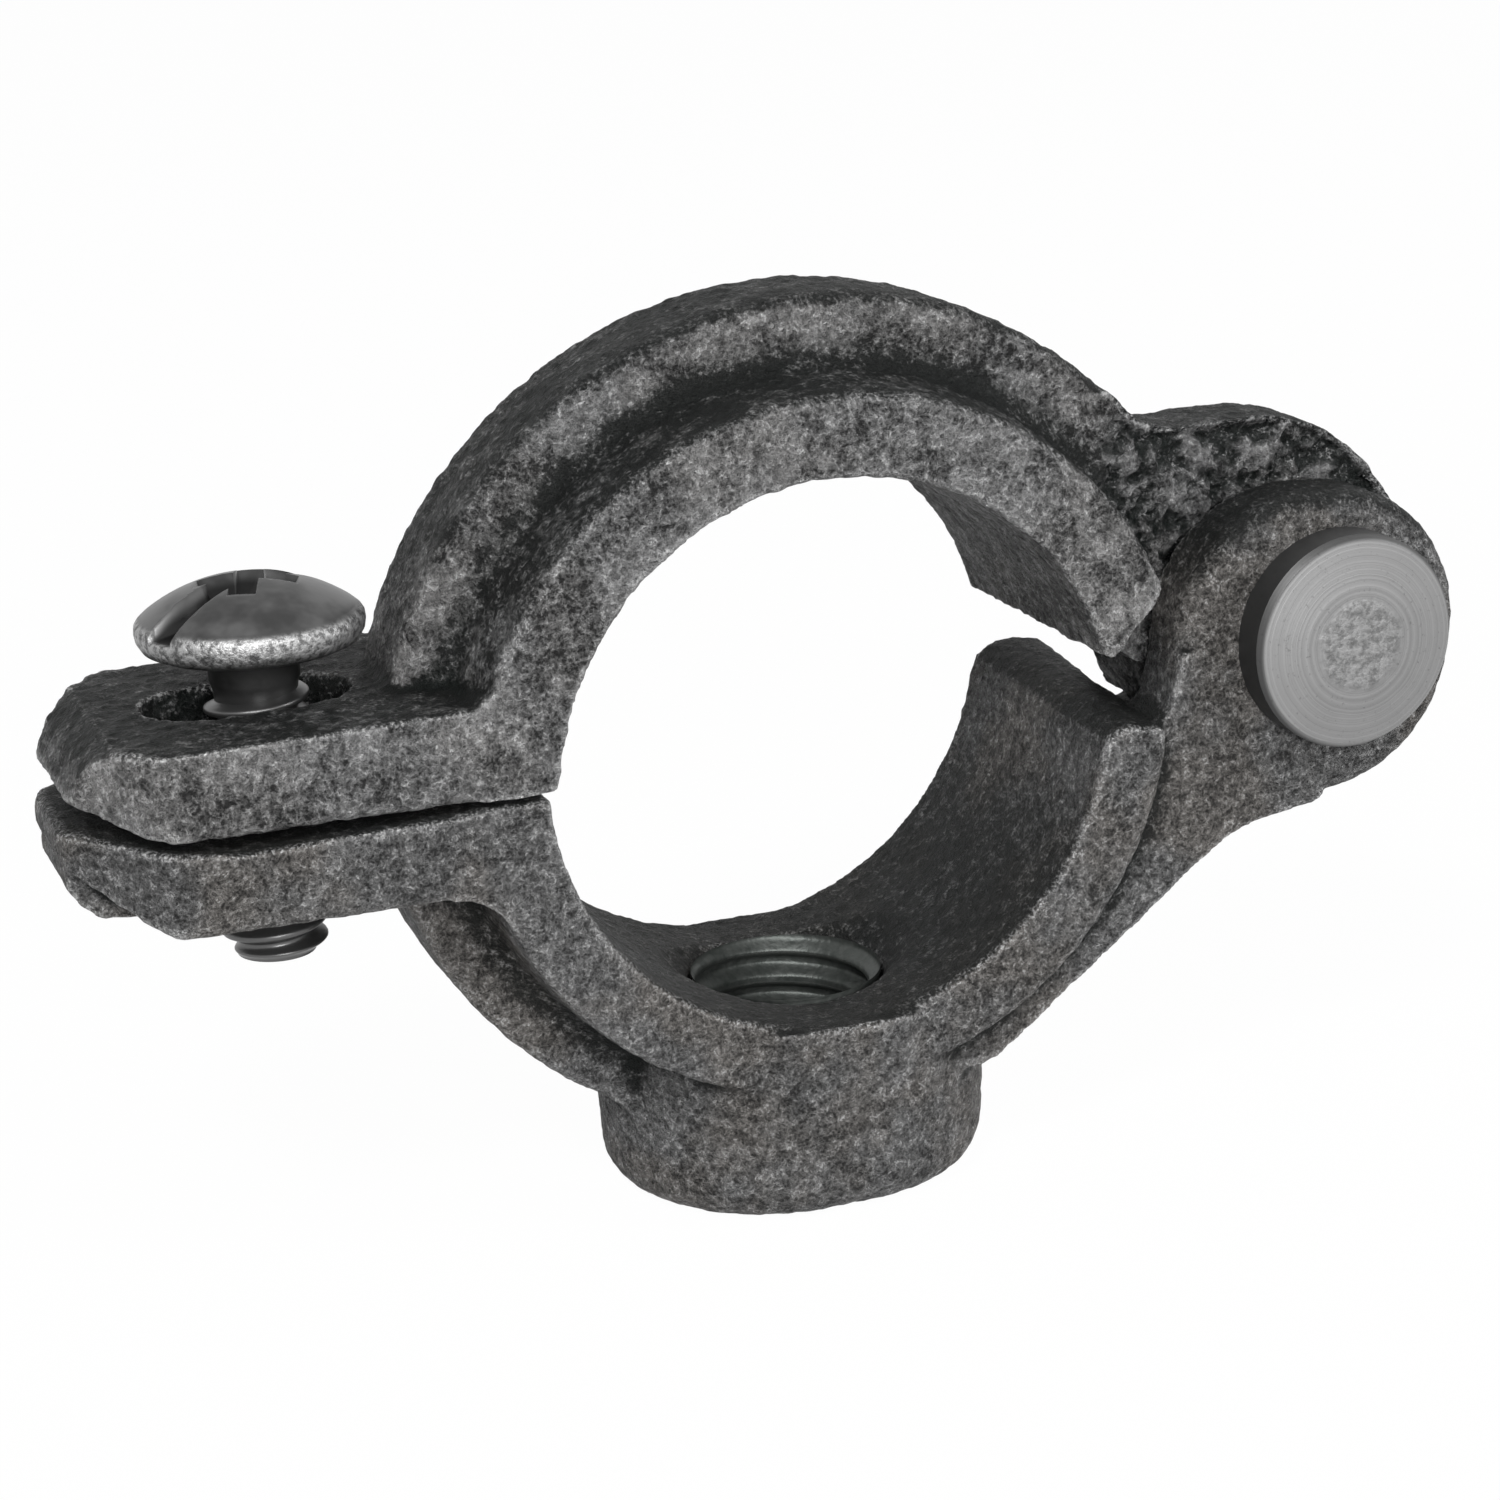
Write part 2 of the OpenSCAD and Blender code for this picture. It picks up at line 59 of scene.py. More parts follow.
# The view: the camera looks down a little on the ring's front and its clamp ears,
# from the side of the flat rivet head, through a long lens.
VIEW_AZIMUTH = radians(19.67)
VIEW_HEIGHT = radians(16.66)
VIEW_ROLL = radians(-2.44)
VIEW_DISTANCE = 167.5 * MM
VIEW_SIDESTEP = -1.27 * MM
VIEW_RISE = -2.35 * MM
FRAME_PIXELS = 1500
FOCAL_PIXELS = 3526.5
SENSOR = 36.0

forward = Vector((sin(VIEW_AZIMUTH) * cos(VIEW_HEIGHT),
                  cos(VIEW_AZIMUTH) * cos(VIEW_HEIGHT), -sin(VIEW_HEIGHT)))
level = Vector((cos(VIEW_AZIMUTH), -sin(VIEW_AZIMUTH), 0))
upright = level.cross(forward)
eye = level * VIEW_SIDESTEP + upright * VIEW_RISE - forward * VIEW_DISTANCE
right = level * cos(VIEW_ROLL) + upright * sin(VIEW_ROLL)
up = upright * cos(VIEW_ROLL) - level * sin(VIEW_ROLL)

lens = bpy.data.cameras.new("camera")
lens.sensor_width = SENSOR
lens.lens = SENSOR * FOCAL_PIXELS / FRAME_PIXELS
lens.clip_start = 10 * MM
lens.clip_end = 20
camera = bpy.data.objects.new("camera", lens)
camera.matrix_world = Matrix.Translation(eye) @ Matrix((right, up, -forward)).transposed().to_4x4()
bpy.context.scene.collection.objects.link(camera)
bpy.context.scene.camera = camera


# Lower casting: half ring, boss, tapped ear and front lug, poured as one piece of
# malleable iron. Its skin keeps the print of fine moulding sand under a film of dark oil.
class Wire:
    """A node's output that is added and multiplied like a number."""

    def __init__(self, tree, socket):
        self.tree = tree
        self.socket = socket

    def join(self, operation, *others, clamp=False):
        node = self.tree.nodes.new("ShaderNodeMath")
        node.operation = operation
        node.use_clamp = clamp
        for slot, value in zip(node.inputs, others):
            plug(self.tree, value, slot)
        return Wire(self.tree, node.outputs[0])

    def __add__(self, other):
        return self.join("ADD", self, other)

    def __radd__(self, other):
        return self.join("ADD", other, self)

    def __sub__(self, other):
        return self.join("SUBTRACT", self, other)

    def __rsub__(self, other):
        return self.join("SUBTRACT", other, self)

    def __mul__(self, other):
        return self.join("MULTIPLY", self, other)

    def __rmul__(self, other):
        return self.join("MULTIPLY", other, self)

    def __truediv__(self, other):
        return self.join("DIVIDE", self, other)

    def __pow__(self, other):
        return self.join("POWER", self, other)

    def __neg__(self):
        return self.join("MULTIPLY", self, -1)

    def size(self):
        """The value without its sign."""
        return self.join("ABSOLUTE", self)

    def most(self, other):
        return self.join("MAXIMUM", self, other)

    def clamped(self):
        return self.join("ADD", self, 0, clamp=True)

    def ramp(self, low, high):
        """0 at low and 1 at high, with soft ends."""
        node = self.tree.nodes.new("ShaderNodeMapRange")
        node.interpolation_type = "SMOOTHSTEP"
        plug(self.tree, self, node.inputs["Value"])
        node.inputs["From Min"].default_value = low
        node.inputs["From Max"].default_value = high
        return Wire(self.tree, node.outputs["Result"])


def plug(tree, value, slot):
    """Links a wire to a socket, or sets the socket to a plain value."""
    if isinstance(value, Wire):
        tree.links.new(value.socket, slot)
    elif value is not None:
        slot.default_value = value


class Works:
    """A node tree, for a shader or for geometry, that is written as Python expressions."""

    def __init__(self, tree):
        self.tree = tree
        self.tree.nodes.clear()

    def node(self, kind, settings=None, inputs=None, out=0):
        made = self.tree.nodes.new(kind)
        for name, value in (settings or {}).items():
            setattr(made, name, value)
        for name, value in (inputs or {}).items():
            plug(self.tree, value, made.inputs[name])
        return Wire(self.tree, made.outputs[out])

    def vector(self, operation, first, second=None, scale=None):
        made = self.tree.nodes.new("ShaderNodeVectorMath")
        made.operation = operation
        plug(self.tree, first, made.inputs[0])
        plug(self.tree, second, made.inputs[1])
        if scale is not None:
            plug(self.tree, scale, made.inputs["Scale"])
        out = "Value" if operation in ("DOT_PRODUCT", "LENGTH", "DISTANCE") else "Vector"
        return Wire(self.tree, made.outputs[out])

    def parts(self, vector):
        made = self.tree.nodes.new("ShaderNodeSeparateXYZ")
        plug(self.tree, vector, made.inputs[0])
        return [Wire(self.tree, out) for out in made.outputs]

    def noise(self, place, grain, detail=2.0, rough=0.5, skew=0.0):
        """Soft noise from 0 to 1 whose lumps are about grain across."""
        return self.node("ShaderNodeTexNoise", inputs={
            "Vector": place, "Scale": 1 / grain, "Detail": detail, "Roughness": rough,
            "Distortion": skew}, out=0)

    def cells(self, place, grain, feature="F1", soft=None):
        """Distance from the nearest of many points that are about grain apart, 0 to 1."""
        inputs = {"Vector": place, "Scale": 1 / grain}
        if soft is not None:
            inputs["Smoothness"] = soft
        return self.node("ShaderNodeTexVoronoi", {"feature": feature}, inputs, "Distance")


class Finish(Works):
    """One material, with its surface shader and the place on the object as wires."""

    def __init__(self, name):
        self.material = bpy.data.materials.new(name)
        self.material.use_nodes = True
        super().__init__(self.material.node_tree)
        self.place = self.node("ShaderNodeTexCoord", out="Object")

    def attribute(self, name):
        return self.node("ShaderNodeAttribute", {"attribute_name": name}, out="Fac")

    def blend(self, factor, first, second):
        made = self.tree.nodes.new("ShaderNodeMix")
        made.data_type = "RGBA"
        plug(self.tree, factor, made.inputs[0])
        plug(self.tree, first, made.inputs[6])
        plug(self.tree, second, made.inputs[7])
        return Wire(self.tree, made.outputs[2])

    def bump(self, height, depth, under=None):
        """Normals of a surface with height, from 0 to 1, that stands depth proud."""
        inputs = {"Height": height, "Distance": depth}
        if under is not None:
            inputs["Normal"] = under
        return self.node("ShaderNodeBump", inputs=inputs)

    def surface(self, **inputs):
        shader = self.tree.nodes.new("ShaderNodeBsdfPrincipled")
        for name, value in inputs.items():
            plug(self.tree, value, shader.inputs[name.replace("_", " ")])
        out = self.tree.nodes.new("ShaderNodeOutputMaterial")
        self.tree.links.new(shader.outputs[0], out.inputs["Surface"])


def grey(level, warm=0.0):
    return (level * (1 + warm), level, level * (1 - warm), 1)


def link(piece):
    bpy.context.scene.collection.objects.link(piece)
    return piece


def merged_copy(name, node):
    """Copy of a CAD node's mesh whose loose triangles are joined up."""
    mesh = frame["nodes"][node].data.copy()
    mesh.name = name
    mesh.materials.clear()
    body = bmesh.new()
    body.from_mesh(mesh)
    bmesh.ops.remove_doubles(body, verts=body.verts, dist=0.0005 * MM)
    body.to_mesh(mesh)
    body.free()
    return link(bpy.data.objects.new(name, mesh))


def baked(piece, name):
    """The piece as its modifiers leave it, as a plain mesh with no modifiers."""
    seen = piece.evaluated_get(bpy.context.evaluated_depsgraph_get())
    mesh = bpy.data.meshes.new_from_object(seen)
    mesh.name = name
    bpy.data.objects.remove(piece)
    for face in mesh.polygons:
        face.use_smooth = True
    return link(bpy.data.objects.new(name, mesh))


def arc(centre, radius, start, end, steps=16):
    """Points on a circle in the plane of the ring, from one angle to another, in mm."""
    turns = [radians(start + (end - start) * step / steps) for step in range(steps + 1)]
    return [(centre[0] + radius * cos(turn), centre[1] + radius * sin(turn)) for turn in turns]


def block(name, front, back, y_front, y_back):
    """Closed solid between two outlines in x and z that have as many points each, in mm."""
    count = len(front)
    verts = [(x * MM, y * MM, z * MM) for outline, y in ((front, y_front), (back, y_back))
             for x, z in outline]
    sides = [(i, (i + 1) % count, count + (i + 1) % count, count + i) for i in range(count)]
    mesh = bpy.data.meshes.new(name)
    mesh.from_pydata(verts, [], sides + [tuple(reversed(range(count))),
                                         tuple(range(count, 2 * count))])
    body = bmesh.new()
    body.from_mesh(mesh)
    bmesh.ops.recalc_face_normals(body, faces=body.faces)
    body.to_mesh(mesh)
    body.free()
    return link(bpy.data.objects.new(name, mesh))


def worked(piece, steps):
    """The piece with blocks cut away ("DIFFERENCE") or added ("UNION"), one after another."""
    for operation, tool in steps:
        step = piece.modifiers.new(tool.name, "BOOLEAN")
        step.operation = operation
        step.solver = "EXACT"
        step.object = tool
    done = baked(piece, piece.name)
    for _, tool in steps:
        bpy.data.objects.remove(tool)
    return done


RIB_HALF = 3.2 * MM
SKIN_PITCH = 0.21 * MM
SKIN_SOFTENING = 3


def sand_skin(name):
    """Tree that presses a sand mould's print into a casting, and marks ridges and pits."""
    tree = bpy.data.node_groups.new(name, "GeometryNodeTree")
    face = tree.interface
    face.new_socket("Casting", in_out="INPUT", socket_type="NodeSocketGeometry")
    for label in ("Lump Size", "Lump Depth", "Pit Size", "Pit Depth", "Grain Size", "Grain Depth",
                  "Torn Depth"):
        face.new_socket(label, in_out="INPUT", socket_type="NodeSocketFloat")
    for label in ("Torn Centre", "Seed"):
        face.new_socket(label, in_out="INPUT", socket_type="NodeSocketVector")
    face.new_socket("Iron", in_out="INPUT", socket_type="NodeSocketMaterial")
    face.new_socket("Casting", in_out="OUTPUT", socket_type="NodeSocketGeometry")
    work = Works(tree)
    given = tree.nodes.new("NodeGroupInput")
    take = {out.name: Wire(tree, out) for out in given.outputs if out.name}
    spot = work.node("GeometryNodeInputPosition")
    normal = work.node("GeometryNodeInputNormal")
    place = work.vector("ADD", spot, take["Seed"])

    def noise(size, detail, rough):
        return work.node("ShaderNodeTexNoise", inputs={
            "Vector": place, "Scale": 1 / size if not isinstance(size, Wire) else
            work.node("ShaderNodeMath", {"operation": "DIVIDE"}, {0: 1.0, 1: size}),
            "Detail": detail, "Roughness": rough})

    lumps = noise(take["Lump Size"], 2.0, 0.5) - 0.5
    grain = noise(take["Grain Size"], 2.0, 0.6) - 0.5
    pits = work.node("ShaderNodeTexVoronoi", {"feature": "SMOOTH_F1"}, {
        "Vector": work.vector("ADD", place, work.vector(
            "SCALE", work.node("ShaderNodeTexNoise", inputs={"Vector": place, "Scale": 1500.0},
                               out=1), scale=0.5 * MM)),
        "Scale": work.node("ShaderNodeMath", {"operation": "DIVIDE"}, {0: 1.0, 1: take["Pit Size"]}),
        "Smoothness": 0.4}, "Distance").ramp(0.15, 0.75) - 1
    x, y, z = work.parts(work.vector("SUBTRACT", spot, take["Torn Centre"]))
    reach = work.vector("LENGTH", work.node("ShaderNodeCombineXYZ", inputs={"X": x, "Z": z}))
    torn_here = (work.parts(normal)[1] * -1).ramp(0.5, 0.9) * (1 - reach.ramp(6.5 * MM, 10 * MM)) \
        * (1 - (y + RIB_HALF).size().ramp(0.6 * MM, 1.4 * MM))
    torn = (noise(1.6 * MM, 5.0, 0.62)).ramp(0.36, 0.62) - 1
    relief = lumps * take["Lump Depth"] + pits * take["Pit Depth"] + grain * take["Grain Depth"]
    relief = relief + torn * torn_here * take["Torn Depth"]

    def kept(geometry, label, value, kind="FLOAT"):
        return work.node("GeometryNodeStoreNamedAttribute", {"data_type": kind, "domain": "POINT"},
                         {"Geometry": geometry, "Name": label, "Value": value})

    def rounding(width, passes):
        mean = work.node("GeometryNodeBlurAttribute", {"data_type": "FLOAT_VECTOR"},
                         {"Value": spot, "Iterations": passes})
        return work.vector("DOT_PRODUCT", normal, work.vector("SUBTRACT", spot, mean)) / width

    solid = kept(take["Casting"], "ridge", rounding(0.1 * MM, 8))
    solid = kept(solid, "fold", rounding(0.5 * MM, 60))
    solid = kept(solid, "relief", relief / (0.1 * MM))
    solid = kept(solid, "upward", work.parts(normal)[2])
    moved = work.node("GeometryNodeSetPosition", inputs={
        "Geometry": solid, "Offset": work.vector("SCALE", normal, scale=relief)})
    real = work.node("GeometryNodeRealizeInstances", inputs={"Geometry": moved})
    dressed = work.node("GeometryNodeSetMaterial", inputs={"Geometry": real, "Material": take["Iron"]})
    end = tree.nodes.new("NodeGroupOutput")
    tree.links.new(dressed.socket, end.inputs[0])
    return tree


SAND_SKIN = sand_skin("sand skin")


def cast(name, node, iron, steps, **sizes):
    """The CAD node's solid, worked, with soft corners and a sand mould's print on its skin."""
    piece = worked(merged_copy(name, node), steps)
    pitch = piece.modifiers.new("skin", "REMESH")
    pitch.mode = "VOXEL"
    pitch.voxel_size = SKIN_PITCH
    soft = piece.modifiers.new("soft corners", "SMOOTH")
    soft.factor = 0.5
    soft.iterations = SKIN_SOFTENING
    skin = piece.modifiers.new("sand skin", "NODES")
    skin.node_group = SAND_SKIN
    for item in SAND_SKIN.interface.items_tree:
        key = item.name.lower().replace(" ", "_")
        if item.in_out == "INPUT" and key in sizes:
            skin[item.identifier] = sizes[key]
        if item.in_out == "INPUT" and item.name == "Iron":
            skin[item.identifier] = iron
    return baked(piece, name)


HINGE = Vector(frame["joints"][0]["pos_m"])


def cast_iron(name, dark, pale, warm, patchy, sand, crust):
    """Dark iron under oil: pale flakes where the sand's print is proud, painted shade in hollows, deep
    pits, screw holes and on upward faces, and painted glints.
    """
    iron = Finish(name)
    place = iron.place
    ridge = iron.attribute("ridge")
    fold = iron.attribute("fold")
    relief = iron.attribute("relief")
    upward = iron.attribute("upward")
    x, y, z = iron.parts(place)
    flakes = iron.noise(place, crust, 5, 0.72, 0.4)
    grains = iron.noise(place, sand, 3, 0.65)
    blotches = iron.noise(place, 2.4 * MM, 4, 0.6)
    stains = iron.noise(place, 8 * MM, 3, 0.5)
    # Convex edges are made lighter: partly rubbed wear, partly a painted highlight.
    rubbed_and_lit_edges = ridge.ramp(0.30, 1.3)
    proud = relief.ramp(-0.4, 0.9)
    # Painted shade: creases and hollows are darkened.
    hollow_painted_shade = (fold * -1).ramp(0.05, 0.70)
    # Painted shade: faces that look upward are darkened.
    upward_painted_shade = upward.ramp(0.25, 0.75)
    # Painted shade: walls inside the ear's screw slot and tapped hole are darkened.
    hole_painted_shade = (1 - (x + 24.8 * MM).size().ramp(4.9 * MM, 5.1 * MM)) \
        * (1 - y.size().ramp(2.9 * MM, 3.1 * MM)) * z.ramp(-1.6 * MM, -1.2 * MM) \
        * (1 - upward.size().ramp(0.3, 0.7) * z.ramp(1.0 * MM, 1.4 * MM))
    # Painted shade: the deepest pits and the torn gate skin are darkened.
    pit_painted_shade = (relief * -1).ramp(1.6, 6.0)
    # Real wear and tone, lighter on proud skin, with the painted shade of hollows and upward faces
    # taken off.
    wear_and_painted_shade = (flakes.ramp(0.38, 0.62) * 0.46 + grains.ramp(0.40, 0.60) * 0.28
            + blotches.ramp(0.36, 0.64) * patchy + rubbed_and_lit_edges * 0.50 + proud * 0.26 - 0.06 - patchy / 4
            - hollow_painted_shade * 0.45 - upward_painted_shade * 0.45).clamped()
    metal = iron.blend(wear_and_painted_shade, grey(dark), grey(pale))
    warmed = iron.blend(stains.ramp(0.44, 0.58) * warm, metal,
                        iron.vector("MULTIPLY", metal, (1.06, 0.98, 0.90)))
    # Painted shade: hollows, upward faces, hole walls and deep pits are blended to greenish black.
    shaded = iron.blend((hollow_painted_shade * 0.75).most(upward_painted_shade * 0.45).most(hole_painted_shade * 0.9).most(pit_painted_shade * 0.9), warmed, (0.005, 0.0075, 0.0065, 1))
    # Painted highlight: pale, partly metallic glints on flecks and on convex edges.
    painted_glint = (flakes.ramp(0.48, 0.66) * grains.ramp(0.46, 0.64) * wear_and_painted_shade
             + rubbed_and_lit_edges * grains.ramp(0.46, 0.64) * 0.8).clamped()
    colour = iron.blend(painted_glint, shaded, grey(0.48))
    rough = iron.bump(flakes, 0.90 * MM)
    fine = iron.bump(grains, 0.26 * MM, rough)
    iron.surface(Base_Color=colour, Roughness=0.50 - painted_glint * 0.12, Metallic=painted_glint * 0.6,
                 Specular_IOR_Level=0.16, Normal=fine)
    return iron.material


# Trims that the moulder's hand left: a fuller web edge and ear, and a taller strap end
WEB_EDGE = [(4, -18.1), (8.1, -17.3), (15.6, -11.7), (19.3, -8.85), (20.6, -8.0), (22.1, -7.45),
            (25.3, -6.95), (25.9, 0), (16.4, -4.5), (6, -14)]
EAR_HEEL = [(-29.5, -1.6), (-34.45, -1.6), (-34.55, -3.0), (-34.1, -3.85), (-33.2, -4.6),
            (-32.0, -4.8), (-29.5, -4.8)]
STRAP_END_FRONT = [(13.5, -2.6), (13.65, -1.9), (14.2, -1.45), (15.0, -1.3), (16.2, -1.7),
                   (16.7, -2.3), (16.75, -2.7)]
STRAP_END_BACK = [(13.5, -2.6), (13.75, -1.5), (14.7, -0.85), (15.8, -0.75), (17.2, -1.0),
                  (17.9, -1.5), (18.1, -2.7)]
lower_iron = cast_iron("lower iron", dark=0.020, pale=0.25, warm=0.7, patchy=0.16, sand=0.15 * MM,
                       crust=0.50 * MM)
lower_casting = cast("lower_casting", "lower_half", lower_iron, [
    ("UNION", block("web edge", WEB_EDGE, WEB_EDGE, -6.9, 3.1)),
    ("UNION", block("ear heel", EAR_HEEL, EAR_HEEL, -3.6, 3.6)),
    ("UNION", block("strap end", STRAP_END_FRONT, STRAP_END_BACK, -7.8, 7.8))],
    lump_size=2.6 * MM, lump_depth=0.06 * MM, pit_size=0.8 * MM,
    pit_depth=0.05 * MM, grain_size=0.5 * MM, grain_depth=0.14 * MM,
    torn_depth=0.0, torn_centre=HINGE, seed=Vector((0.3, 0.1, 0.2)))
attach(lower_casting, "fixed_half")
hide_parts("lower_half")


# Rod thread: the ridges of the 3/8-16 thread cut into the boss, dark with cutting oil.
def ridge_tree(name):
    """Tree that winds a screw thread's ridge round a plain tube."""
    tree = bpy.data.node_groups.new(name, "GeometryNodeTree")
    face = tree.interface
    face.new_socket("Tube", in_out="INPUT", socket_type="NodeSocketGeometry")
    for label in ("Root", "Crest", "Pitch", "Length"):
        face.new_socket(label, in_out="INPUT", socket_type="NodeSocketFloat")
    face.new_socket("Metal", in_out="INPUT", socket_type="NodeSocketMaterial")
    face.new_socket("Tube", in_out="OUTPUT", socket_type="NodeSocketGeometry")
    work = Works(tree)
    given = tree.nodes.new("NodeGroupInput")
    take = {out.name: Wire(tree, out) for out in given.outputs if out.name}
    tube = work.node("GeometryNodeMeshCylinder", {"fill_type": "NONE"}, {
        "Vertices": 96, "Side Segments": 220, "Radius": take["Root"], "Depth": take["Length"]})
    x, y, z = work.parts(work.node("GeometryNodeInputPosition"))
    turn = y.join("ARCTAN2", y, x) / (2 * pi)
    turns = z / take["Pitch"] - turn
    ridge = (1 - (turns.join("FRACT", turns) * 2 - 1).size()).ramp(0.12, 0.88)
    from_end = take["Length"] / 2 - z.size()
    fade = (from_end / take["Pitch"]).ramp(0.0, 0.6)
    grown = 1 + ridge * fade * (take["Crest"] / take["Root"] - 1)
    wound = work.node("GeometryNodeSetPosition", inputs={
        "Geometry": tube, "Position": work.node("ShaderNodeCombineXYZ", inputs={
            "X": x * grown, "Y": y * grown, "Z": z})})
    joined = work.node("GeometryNodeJoinGeometry", inputs={"Geometry": wound})
    tree.links.new(take["Tube"].socket, joined.socket.node.inputs[0])
    real = work.node("GeometryNodeRealizeInstances", inputs={"Geometry": joined})
    dressed = work.node("GeometryNodeSetMaterial", inputs={"Geometry": real,
                                                           "Material": take["Metal"]})
    end = tree.nodes.new("NodeGroupOutput")
    tree.links.new(dressed.socket, end.inputs[0])
    return tree


RIDGE_TREE = ridge_tree("thread ridges")


def thread(name, metal, middle, **sizes):
    """A thread's surface as a mesh of its own, upright round its middle."""
    piece = link(bpy.data.objects.new(name, bpy.data.meshes.new(name)))
    wind = piece.modifiers.new("ridges", "NODES")
    wind.node_group = RIDGE_TREE
    for item in RIDGE_TREE.interface.items_tree:
        key = item.name.lower()
        if item.in_out == "INPUT" and key in sizes:
            wind[item.identifier] = sizes[key]
        if item.in_out == "INPUT" and item.name == "Metal":
            wind[item.identifier] = metal
    piece = baked(piece, name)
    piece.data.transform(Matrix.Translation(middle))
    return piece


ROD_TOP = -13.5 * MM
ROD_FOOT = -23.1 * MM
cut_iron = Finish("cut iron")
swarf = cut_iron.noise(cut_iron.place, 0.5 * MM, 3, 0.6)
cut_iron.surface(Base_Color=cut_iron.blend(swarf, (0.020, 0.026, 0.023, 1), (0.10, 0.105, 0.10, 1)),
                 Roughness=0.36 + swarf * 0.2, Metallic=0.7,
                 Normal=cut_iron.bump(swarf, 0.05 * MM))
rod_thread = thread("rod_thread", cut_iron.material, Vector((0, 0, (ROD_TOP + ROD_FOOT) / 2)),
                    root=4.62 * MM, crest=4.0 * MM, pitch=25.4 / 16 * MM,
                    length=ROD_TOP - ROD_FOOT)
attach(rod_thread, "fixed_half")


# Upper casting: half ring, slotted ear and rear lug, also one pour of malleable iron.
# Its mould was coarser, and the gate was broken off the front of the rear lug.
RIB_CENTRE = Vector((1.28, -1.56))
RIB_RADIUS = 21.3
SHOULDER = Vector((23.75, 3.45))
SHOULDER_RADIUS = 8.2
SHOULDER_FLAT = Vector((-2.4, 0))
EYE = Vector((26.35, 1.35))
EYE_RADIUS = 7.3
VALLEY_RADIUS = 4.0
LUG_BACK = 0.9


def valley_centre():
    """Centre of the fillet that touches both the upper rib and the lug's shoulder."""
    start, end = RIB_CENTRE, SHOULDER + SHOULDER_FLAT
    near, far = RIB_RADIUS + VALLEY_RADIUS, SHOULDER_RADIUS + VALLEY_RADIUS
    apart = (end - start).length
    along = (apart ** 2 + near ** 2 - far ** 2) / (2 * apart)
    way = (end - start).normalized()
    return start + way * along + Vector((-way.y, way.x)) * (near ** 2 - along ** 2) ** 0.5


def bearing(vector):
    return degrees(atan2(vector.y, vector.x))


valley = valley_centre()
brow = bearing(EYE - SHOULDER) + degrees(acos((SHOULDER_RADIUS - EYE_RADIUS)
                                               / (EYE - SHOULDER).length))
LUG_EDGE = (arc(valley, VALLEY_RADIUS, bearing(RIB_CENTRE - valley),
                bearing(SHOULDER + SHOULDER_FLAT - valley))
            + arc(SHOULDER + SHOULDER_FLAT, SHOULDER_RADIUS,
                  bearing(valley - SHOULDER - SHOULDER_FLAT), 90, 8)
            + arc(SHOULDER, SHOULDER_RADIUS, 90, brow) + arc(EYE, EYE_RADIUS, brow, -88))
OUTSIDE = LUG_EDGE + [(26.6, -12), (45, -12), (45, 30), (17.1, 30)]
LUG_BODY = [(15.5, 8)] + LUG_EDGE[4:-12] + [(28, 2), (19.5, 2), (17.3, 4)]
LUG_CHIN = [(14.6, 2.8), (15.6, 1.6), (17.6, 0.2), (19.8, -0.6), (22, 4), (16.5, 6)]
STRAP_BACK = Vector((0.48, -1.56))
STRAP_BACK_RADIUS = 18.15
EAR_NOSE = ([(-36, -2), (-34.45, 0.6), (-34.2, 1.5)] + arc((-32.0, 1.35), 2.0, 165, 100, 6)
            + [(-32.2, 6), (-36, 6)])


def rib_flank(end):
    """Outline of what is cut from behind the rib and lug, out to an angle on the rib."""
    return (arc(STRAP_BACK, STRAP_BACK_RADIUS, 14, end) + arc(STRAP_BACK, 45, end, -40)
            + [(15, -20), (19.5, -8)])


upper_iron = cast_iron("upper iron", dark=0.014, pale=0.29, warm=0.15, patchy=0.45, sand=0.18 * MM,
                       crust=0.50 * MM)
upper_casting = cast("upper_casting", "upper_half", upper_iron, [
    ("DIFFERENCE", block("outside the lug", OUTSIDE, OUTSIDE, -5, 5)),
    ("UNION", block("lug body", LUG_BODY, LUG_BODY, -3.15, LUG_BACK)),
    ("UNION", block("lug chin", LUG_CHIN, LUG_CHIN, -3.1, LUG_BACK - 0.05)),
    ("DIFFERENCE", block("behind the lug", rib_flank(38), rib_flank(58), LUG_BACK, 3.7)),
    ("DIFFERENCE", block("ear nose", EAR_NOSE, EAR_NOSE, -9, 9))],
    lump_size=2.2 * MM, lump_depth=0.09 * MM, pit_size=0.95 * MM,
    pit_depth=0.09 * MM, grain_size=0.6 * MM, grain_depth=0.18 * MM,
    torn_depth=0.85 * MM, torn_centre=HINGE + Vector((-2.5 * MM, 0, 7 * MM)),
    seed=Vector((0.7, 0.4, 0.1)))
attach(upper_casting, "swing_half")
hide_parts("upper_half")


# Hinge rivet: one solid steel rivet, flat head in front and peened behind the rear lug.
# The die that formed its head left turned rings, and a rough spot in the middle.
rivet_steel = Finish("rivet steel")
place = rivet_steel.place
x, y, z = rivet_steel.parts(place)
across = x - (HINGE.x + 0.1 * MM)
rise = z - (HINGE.z - 0.1 * MM)
from_axis = (across * across + rise * rise) ** 0.5
wander = rivet_steel.noise(place, 1.6 * MM, 3, 0.6)
rings = rivet_steel.node("ShaderNodeTexNoise", {"noise_dimensions": "1D"}, {
    "W": from_axis + wander * 0.00012, "Scale": 5200.0, "Detail": 3.0, "Roughness": 0.7})
spot = 1 - (from_axis + wander * 0.0011).ramp(2.35 * MM, 2.95 * MM)
specks = rivet_steel.noise(place, 0.22 * MM, 3, 0.7)
scale = rivet_steel.noise(place, 0.34 * MM, 3, 0.65)
